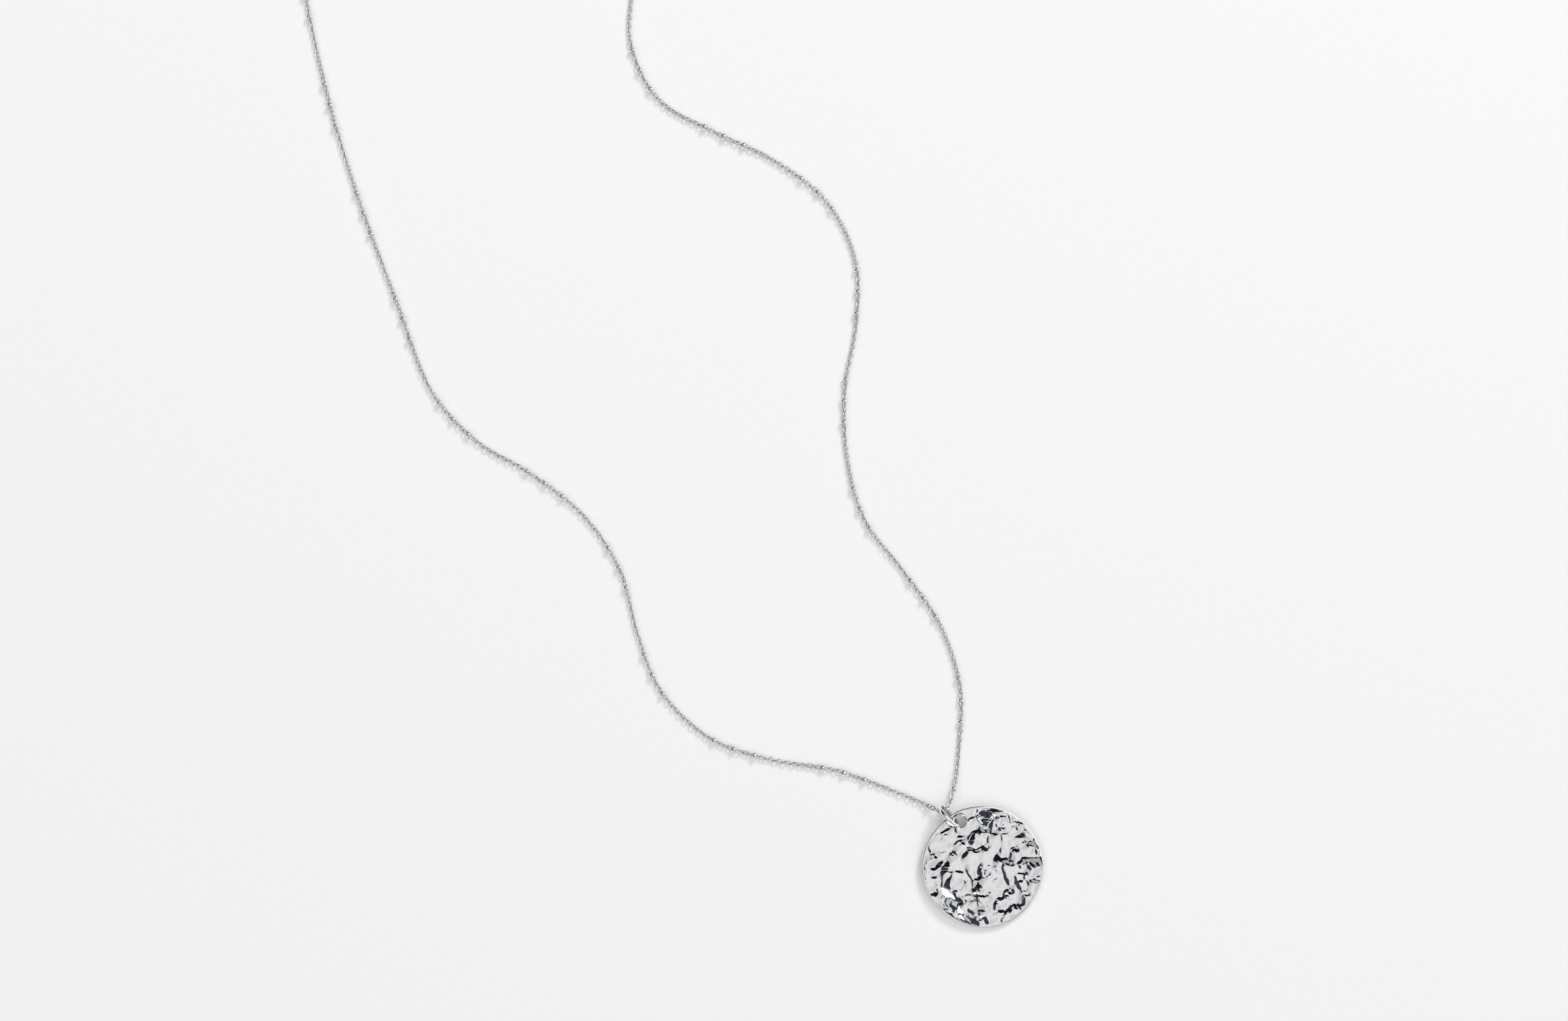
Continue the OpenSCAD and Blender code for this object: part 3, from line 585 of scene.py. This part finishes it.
def wallChart(x, y):  # how much of a wall each spot is, and the slope that the wall asks for there
    wander = disc["wallWander"]
    wx = x + wander * ripple(x, y, 1.5, 5) + wander * ripple(x, y, 0.5, 6)
    wy = y + wander * ripple(x, y, 1.5, 9) + wander * ripple(x, y, 0.5, 10)
    depth, slopes = np.full_like(x, -1.0), np.zeros((2, *x.shape))
    for kind, *path in walls:
        way, slope = wallWays[kind]
        steep = kind in ("key", "far")
        wayX, wayY = math.cos(math.radians(way)), math.sin(math.radians(way))
        side = math.radians(way if steep else disc["thinWay"])
        for (ax, ay, aHalf), (bx, by, bHalf) in zip(path[:-1], path[1:]):
            pad = max(aHalf, bHalf) + disc["wallPad"]
            near = np.ix_((y[:, 0] > min(ay, by) - pad) & (y[:, 0] < max(ay, by) + pad),
                          (x[0] > min(ax, bx) - pad) & (x[0] < max(ax, bx) + pad))
            dx, dy = bx - ax, by - ay
            long = math.hypot(dx, dy)
            t = np.clip(((wx[near] - ax) * dx + (wy[near] - ay) * dy) / long ** 2, 0, 1)
            half = aHalf + (bHalf - aHalf) * t
            score = half - np.hypot(wx[near] - ax - dx * t, wy[near] - ay - dy * t)
            score += disc["steepFirst"] * steep * (score > 0)
            px, py = -dy / long, dx / long
            if px * math.cos(side) + py * math.sin(side) < 0:
                px, py = -px, -py
            # a broad wall faces its kind's way, and a thin one across itself
            own = np.clip((half - disc["thinHalf"]) / disc["broadOver"], 0, disc["kindShare"])
            fx, fy = px * (1 - own) + wayX * own, py * (1 - own) + wayY * own
            scale = math.tan(math.radians(slope)) / np.hypot(fx, fy)
            better = score > depth[near]
            slopes[0][near] = np.where(better, fx * scale, slopes[0][near])
            slopes[1][near] = np.where(better, fy * scale, slopes[1][near])
            depth[near] = np.maximum(depth[near], score)
    return 1 / (1 + np.exp(-depth / disc["wallEdge"])), slopes


def dented(x, y):  # the soft dents alone
    wander, wave, blend = disc["dentWander"], disc["dentWave"], disc["dentBlend"]
    wx, wy = x + wander * ripple(x, y, wave, 15), y + wander * ripple(x, y, wave, 16)
    total = np.ones_like(x)
    for dx, dy, half in dents:
        deep = disc["dentShare"] * half
        bowl = -deep * (1 - ((wx - dx) ** 2 + (wy - dy) ** 2) / half ** 2)
        total += np.exp(-np.minimum(bowl, disc["dentDeepest"]) / blend)
    height = -blend * np.log(total)
    for depth, wave, seed in disc["swells"]:
        height += depth * ripple(x, y, wave, seed)
    return height


def hammeredChart():  # one height whose slopes come nearest to the dents' and the walls' together
    line = np.linspace(-disc["chartHalf"], disc["chartHalf"], disc["chartSquares"])
    x, y = np.meshgrid(line, line)
    gap = line[1] - line[0]
    wall, (wallX, wallY) = wallChart(x, y)
    sharp = np.hypot(wallX, wallY) > disc["sharpSlope"]
    rough = np.zeros_like(x)
    for px, py, half in roughSpots:
        rough = np.maximum(rough, np.exp(-(((x - px) ** 2 + (y - py) ** 2) / half ** 2) ** 2))
    rough *= 1 - wall
    downY, downX = (-slope for slope in np.gradient(
        dented(x, y) + rough * disc["pitDepth"] * ripple(x, y, disc["pitWave"], 3), gap))
    grainY, grainX = (-slope for slope in np.gradient(
        disc["grainDepth"] * ripple(x, y, disc["grainWave"], 4), gap))
    wallX, wallY = wallX + disc["wallDents"] * downX + grainX, wallY + disc["wallDents"] * downY + grainY
    waves = np.fft.fftfreq(len(line), gap) * 2 * math.pi
    waveX, waveY = np.meshgrid(waves, waves)
    calm = (np.exp(-(waveX ** 2 + waveY ** 2) * disc["finest"] ** 2)
            / (waveX ** 2 + waveY ** 2 + disc["levelling"]))
    far = np.hypot(x, y) > disc["width"] / 2 - 0.1  # from the rim outwards
    least = math.tan(math.radians(disc["wallSlope"]))
    slopeX, slopeY = downX * (1 - wall) + wallX * wall, downY * (1 - wall) + wallY * wall
    for _ in range(disc["chartRounds"]):
        steep = np.maximum(np.hypot(slopeX, slopeY), 1e-9)
        apart = np.abs((np.degrees(np.arctan2(slopeY, slopeX)) - disc["brightWay"] + 180) % 360 - 180)
        t = np.clip((apart - disc["calmFrom"]) / disc["calmOver"], 0, 1)
        limit = np.tan(np.radians(disc["calmSlope"] + disc["calmMore"] * (1 - t * t * (3 - 2 * t))))
        limit = limit * (1 - rough) + rough * np.maximum(limit, disc["pitSlope"])
        held = np.minimum(1, limit / steep)
        askX, askY = (slope * held + disc["dentPull"] * (down - slope)
                      for slope, down in ((slopeX, downX), (slopeY, downY)))
        free = (apart > disc["wallFrom"]) & (steep > least / 2) & ~sharp
        raised = np.maximum(1, least / steep)
        aimX, aimY = (np.clip(np.where(free, slope * raised, own), -disc["mostSlope"], disc["mostSlope"])
                      for slope, own in ((slopeX, wallX), (slopeY, wallY)))
        askX = askX * (1 - wall) + (slopeX + disc["wallPush"] * (aimX - slopeX)) * wall
        askY = askY * (1 - wall) + (slopeY + disc["wallPush"] * (aimY - slopeY)) * wall
        askX = np.where(far, slopeX * disc["edgeFade"], askX)
        askY = np.where(far, slopeY * disc["edgeFade"], askY)
        # the height, by its waves
        swing = 1j * (waveX * np.fft.fft2(askX) + waveY * np.fft.fft2(askY)) * calm
        slopeX, slopeY = (-np.real(np.fft.ifft2(1j * wave * swing)) for wave in (waveX, waveY))
    height = np.real(np.fft.ifft2(swing))
    return height - height[far].mean()


def hammered(x, y):  # height of the face in mm, read between the chart's squares
    chart = hammeredChart()
    gap = 2 * disc["chartHalf"] / (disc["chartSquares"] - 1)
    u, v = (x + disc["chartHalf"]) / gap, (y + disc["chartHalf"]) / gap
    i, j = u.astype(int), v.astype(int)
    u, v = u - i, v - j
    return ((chart[j, i] * (1 - u) + chart[j, i + 1] * u) * (1 - v)
            + (chart[j + 1, i] * (1 - u) + chart[j + 1, i + 1] * u) * v)


letGo()
bpy.ops.mesh.primitive_grid_add(x_subdivisions=disc["squares"], y_subdivisions=disc["squares"], size=2)
plate = bpy.context.object
square = vertexPlaces(plate)[:, :2]
radius = disc["width"] / 2
onEdge = np.abs(square).max(axis=1) > 1 - 1e-6
# the square grid is drawn out to a round one, a little inside the rim
spots = np.stack([square[:, 0] * np.sqrt(1 - square[:, 1] ** 2 / 2),
                  square[:, 1] * np.sqrt(1 - square[:, 0] ** 2 / 2)], axis=1) * (radius - disc["rimIn"])
rimDrop = disc["rim"] - np.sqrt(np.maximum(
    disc["rim"] ** 2 - np.maximum(np.hypot(*spots.T) - (radius - disc["rim"]), 0) ** 2, 0))
holeAway = np.hypot(spots[:, 0] - disc["hole"][0], spots[:, 1] - disc["hole"][1]) - disc["holeWidth"] / 2
holeDrop = disc["holeSink"] * np.exp(-np.maximum(holeAway, 0) / disc["holeSoft"])
middle = np.clip(1 - (np.hypot(*spots.T) / radius) ** disc["faceHold"], 0, 1)
stand = np.interp(np.degrees(np.arctan2(spots[:, 1], spots[:, 0])) % 360, *np.array(disc["outline"]).T)
spots *= (1 + stand / radius * (np.hypot(*spots.T) / radius) ** disc["outlineHold"])[:, None]
face = hammered(spots[:, 0], spots[:, 1])
heights = disc["thick"] - rimDrop - holeDrop + face * middle
setVertexPlaces(plate, np.stack([spots[:, 0], spots[:, 1], heights], axis=1) * mm)
print("hammered face", round(float(face.min()), 3), round(float(face.max()), 3))

pickVertices(plate, onEdge)  # the rim goes down to the back in steps, and the back closes it
for drop, grow in disc["rimSteps"]:
    bpy.ops.mesh.extrude_region_move()
    bpy.ops.transform.resize(value=(grow, grow, 1), center_override=(0, 0, 0))
    bpy.ops.transform.translate(value=(0, 0, -drop * mm))
bpy.ops.mesh.edge_face_add()
bpy.ops.object.mode_set(mode="OBJECT")
places = vertexPlaces(plate)
places[places[:, 2] < disc["backBelow"] * mm, 2] = 0
setVertexPlaces(plate, places)
pickVertices(plate, np.ones(len(places)))
bpy.ops.mesh.normals_make_consistent(inside=False)
bpy.ops.object.mode_set(mode="OBJECT")

letGo()
bpy.ops.mesh.primitive_cylinder_add(vertices=64, radius=disc["holeWidth"] / 2 * mm, depth=6 * mm, location=(
    disc["hole"][0] * mm, disc["hole"][1] * mm, 0))
drill = bpy.context.object
take(plate)
cut = plate.modifiers.new("drilledHole", "BOOLEAN")
cut.operation, cut.object, cut.solver = "DIFFERENCE", drill, "EXACT"
bpy.ops.object.modifier_apply(modifier=cut.name)
bpy.data.objects.remove(drill)
take(plate)
bpy.ops.object.shade_smooth_by_angle(angle=math.radians(disc["smoothAngle"]))
lift = radius * math.sin(math.radians(disc["lean"]))
plate.rotation_mode = "AXIS_ANGLE"
plate.rotation_axis_angle = (math.radians(disc["lean"]), disc["hole"][1], -disc["hole"][0], 0)
plate.location = Vector((*disc["at"], lift)) * mm
settle(plate, "hammeredDisc")
plate.rotation_mode = "XYZ"
dress(plate, hammeredSilver, "hammered_silver", "pendant_disc")
print("disc ready", len(plate.data.polygons))

# bail ring

bail = {"at": (66.27, -149.19), "width": 6.9, "wire": 0.8, "turn": -45, "lean": 9}
bailBend = (bail["width"] - bail["wire"]) / 2
bailHeight = bail["wire"] / 2 + bailBend * math.cos(math.radians(bail["lean"]))
bailRing = wireLoop("bailRing", bailBend, bail["wire"], segments=96, sides=24,
                    at=(*bail["at"], bailHeight), turned=(90 + bail["lean"], 0, bail["turn"]))
# painted shade on the bail ring's inner side
dress(ringPaintedShadeMarks(bailRing, bailBend, bail["wire"]), ringSilver, "ring_silver", "bail_ring")

# clasp

clasp = {"at": (-68, 168.5), "turn": 31, "wire": 1.2, "bend": 1.6, "straight": 4,
         "ringWidth": 4, "ringWire": 0.7, "eyeBend": 1.2, "eyeWire": 1.0, "endBend": 0.85, "endWire": 0.5,
         "lift": 0.08, "endRingAway": 0.1, "jumpRingAway": 0.3, "chainEyeAway": 1.6, "chainEyeLift": 0.1}
claspHeight = clasp["ringWire"] + clasp["wire"] / 2 + clasp["lift"]
loopEnd = clasp["straight"] / 2 + clasp["bend"]
claspEye = loopEnd + clasp["eyeBend"]
endRingAt, jumpRingAt = -loopEnd - clasp["endRingAway"], claspEye + clasp["eyeBend"] + clasp["jumpRingAway"]
leftEye, rightEye = endRingAt - clasp["chainEyeAway"], jumpRingAt + clasp["chainEyeAway"]
chainEyeHeight = claspHeight + clasp["chainEyeLift"]


def byClasp(along, height):  # a place on the line through the clasp and its rings
    turn = math.radians(clasp["turn"])
    return (clasp["at"][0] + along * math.cos(turn), clasp["at"][1] + along * math.sin(turn), height)


loop = wireLoop("claspLoop", clasp["bend"], clasp["wire"], clasp["straight"],
                at=byClasp(0, claspHeight), turned=(0, 0, clasp["turn"]))
eye = wireLoop("claspEye", clasp["eyeBend"], clasp["eyeWire"], segments=48, sides=16,
               at=byClasp(claspEye, claspHeight))
dress(joined([loop, eye], "claspLoop"), claspSilver, "clasp_silver", "clasp")
ringBend = (clasp["ringWidth"] - clasp["ringWire"]) / 2
for name, along, node in (("endRing", endRingAt, "clasp_end_ring"),
                          ("jumpRing", jumpRingAt, "clasp_jump_ring")):
    ring = wireLoop(name, ringBend, clasp["ringWire"], segments=48, sides=16,
                    at=byClasp(along, clasp["ringWidth"] / 2), turned=(90, 0, clasp["turn"]))
    # painted shade on each ring's inner side
    dress(ringPaintedShadeMarks(ring, ringBend, clasp["ringWire"]), ringSilver, "ring_silver", node)
print("rings and clasp ready")

# route of the chain

route = {
    # x, y and lift above the floor's height, from the clasp round to the ring and back up to the clasp
    "left": [(-84, 151.5, 0), (-88, 132, 0), (-88, 108, 0), (-86.5, 84, 0), (-84, 60, 0), (-80.5, 36, 0),
             (-75, 12, 0), (-68, -10.5, 0), (-60, -32, 0), (-52.5, -51.5, 0), (-42, -63.5, 0),
             (-29.5, -71, 0), (-17.5, -80.5, 0), (-9, -93, 0), (-5, -107.5, 0), (0.5, -121, 0),
             (11.5, -131.5, 0), (25.5, -136.5, 0), (40.5, -139, 0), (54.5, -144, 0), (61.5, -147, 0.2)],
    "bail": [(63.1, -147.8, 0.8), (64.3, -148.1, 1.35), (65.2, -148, 1.6), (65.9, -147.6, 1.6)],
    "right": [(67.5, -143, 0.5), (68.5, -135.5, 0), (69, -120.5, 0), (64.5, -106, 0), (56, -93.5, 0),
              (47, -81.5, 0), (43, -67, 0), (42.5, -52, 0), (45, -37.5, 0), (45, -22.5, 0), (38.5, -9, 0),
              (26.5, 0.5, 0), (13, 7, 0), (0, 14.5, 0), (-6.5, 27.5, 0), (-6, 43, 0), (-5.5, 70, 0),
              (-5.5, 100, 0), (-6, 128, 0), (-12, 151, 0), (-25.5, 167.5, 0), (-42, 175, 0)],
    "smoothSteps": 10, "ahead": 0.3,
    # the chain sinks between its beads
    "beadHeight": 0.84, "linkHeight": 0.6, "restAway": 1.5, "restLift": 0.3,
    "tail": 3, "tailGap": 0.15,
    "leftStep": 25.85, "leftTrios": 14, "rightStep": 25.2, "rightTrios": 15, "beadStep": 4.95,
}
tailLift = chainEyeHeight - route["beadHeight"]
endAway = clasp["endBend"] + route["tailGap"]
rows = [byClasp(leftEye - endAway, tailLift), byClasp(leftEye - endAway - route["tail"], tailLift / 2),
        *route["left"], *route["bail"], *route["right"],
        byClasp(rightEye + endAway + route["tail"], tailLift / 2), byClasp(rightEye + endAway, tailLift)]
rows = np.array(rows, dtype=float)
middleRow = 2 + len(route["left"]) + len(route["bail"]) - 1  # the last row in the ring


def smoothLine(rows, steps):  # one smooth line through all the rows
    points = []
    for i in range(len(rows) - 1):
        a, b, c, d = (rows[min(max(k, 0), len(rows) - 1)] for k in (i - 1, i, i + 1, i + 2))
        for t in np.arange(steps) / steps:
            points.append((2 * b + (c - a) * t + (2 * a - 5 * b + 4 * c - d) * t ** 2
                           + (3 * b - a - 3 * c + d) * t ** 3) / 2)
    return np.array(points + [rows[-1]])


chainLine = smoothLine(rows, route["smoothSteps"])
run = np.concatenate([[0], np.cumsum(np.linalg.norm(np.diff(chainLine, axis=0), axis=1))])
middleRun, fullRun = run[middleRow * route["smoothSteps"]], run[-1]
trioRuns = ([middleRun - k * route["leftStep"] for k in range(route["leftTrios"], 0, -1)]
            + [middleRun + k * route["rightStep"] for k in range(route["rightTrios"] + 1)])
beadRuns = np.array([s + b * route["beadStep"] for s in trioRuns for b in (-1, 0, 1)])


def onChain(s):  # a point of the chain's middle, lower between the beads where it rests
    x, y, lift = (np.interp(s, run, chainLine[:, k]) for k in range(3))
    lift = max(lift, 0)
    held = math.exp(-(np.abs(beadRuns - s).min() / route["restAway"]) ** 2)
    sink = (route["beadHeight"] - route["linkHeight"]) * (1 - held) * max(0, 1 - lift / route["restLift"])
    return np.array((x, y, route["beadHeight"] + lift - sink))


def frameAt(s, roll=0.0):  # spot and turn of a pattern whose X runs along the chain
    spot, way = onChain(s), onChain(s + route["ahead"]) - onChain(s - route["ahead"])
    way /= np.linalg.norm(way)
    side = np.cross((0, 0, 1), way)
    side /= np.linalg.norm(side)
    above = np.cross(way, side)
    c, n = math.cos(roll), math.sin(roll)
    return spot * mm, np.stack([way, side * c + above * n, above * c - side * n], axis=1)


# chain links

link = {"long": 1.61, "wide": 1.16, "wire": 0.30, "step": 0.975, "corners": 12, "sides": 6, "endGap": 0.05,
        "twist": 50, "twistWave": 30, "swing": 8, "endFade": 12}  # turns in degrees, the fade in links
pattern = wireLoop("linkPattern", (link["wide"] - link["wire"]) / 2, link["wire"],
                   link["long"] - link["wide"], segments=link["corners"], sides=link["sides"])
# painted shade along each link's inner and outer edges
paintedShadeMarks(pattern, link["wire"])
anchors = np.concatenate([[link["endGap"]], beadRuns, [fullRun - link["endGap"]]])
linkRuns = [anchors[0]]
for a, b in zip(anchors[:-1], anchors[1:]):
    count = max(1, round((b - a) / link["step"]))
    linkRuns += [a + (b - a) * k / count for k in range(1, count + 1)]
dice = random.Random(4)
# slowly, about the chain
turned = link["twist"] * ripple(np.array(linkRuns), np.zeros(len(linkRuns)), link["twistWave"], 7)
order = np.arange(len(linkRuns))
atStart, atEnd = np.exp(-order / link["endFade"]), np.exp(-order[::-1] / link["endFade"])
turned += (90 - turned[0]) * atStart - turned[-1] * atEnd  # upright in the chain's end rings
places = []
for count, s in enumerate(linkRuns):
    roll = math.radians(count % 2 * 90 + turned[count] + dice.uniform(-1, 1) * link["swing"])
    places.append(frameAt(s, roll))
links = laidOut("chainLinks", pattern, places)
bpy.data.objects.remove(pattern)
ends = []
for along in (leftEye, rightEye):
    end = wireLoop("chainEnd", clasp["endBend"], clasp["endWire"], segments=32, sides=12,
                   at=byClasp(along, chainEyeHeight))
    # painted shade along the end rings' edges too
    ends.append(paintedShadeMarks(end, clasp["endWire"]))
dress(joined([links, *ends], "chainLinks"), chainSilver, "chain_silver", "chain")
print("links ready", len(linkRuns))

# beads

bead = {"wide": 1.68, "thick": 0.96, "bore": 1.22, "turns": 20, "steps": 8}
corner = bead["thick"] / 2
inset = bead["wide"] / 2 - corner
openTurn = math.acos((bead["bore"] / 2 - inset) / corner)  # where the round side meets the bore
profile = [(corner * math.sin(a), inset + corner * math.cos(a))
           for a in np.linspace(-openTurn, openTurn, bead["steps"] + 1)]
mesh = bpy.data.meshes.new("beadProfile")
mesh.from_pydata([(x * mm, r * mm, 0) for x, r in profile], [(i, i + 1) for i in range(bead["steps"])]
                 + [(bead["steps"], 0)], [])
beadShape = bpy.data.objects.new("beadProfile", mesh)
bpy.context.scene.collection.objects.link(beadShape)
take(beadShape)
bpy.ops.object.mode_set(mode="EDIT")
bpy.ops.mesh.select_all(action="SELECT")
bpy.ops.mesh.spin(steps=bead["turns"], angle=2 * math.pi, center=(0, 0, 0), axis=(1, 0, 0))
bpy.ops.mesh.select_all(action="SELECT")
bpy.ops.mesh.remove_doubles(threshold=1e-6)
bpy.ops.mesh.normals_make_consistent(inside=False)
bpy.ops.object.mode_set(mode="OBJECT")
beads = laidOut("chainBeads", beadShape, [frameAt(s) for s in beadRuns])
bpy.data.objects.remove(beadShape)
dress(beads, beadSilver, "bead_silver", "chain_beads")
print("beads ready", len(beadRuns))
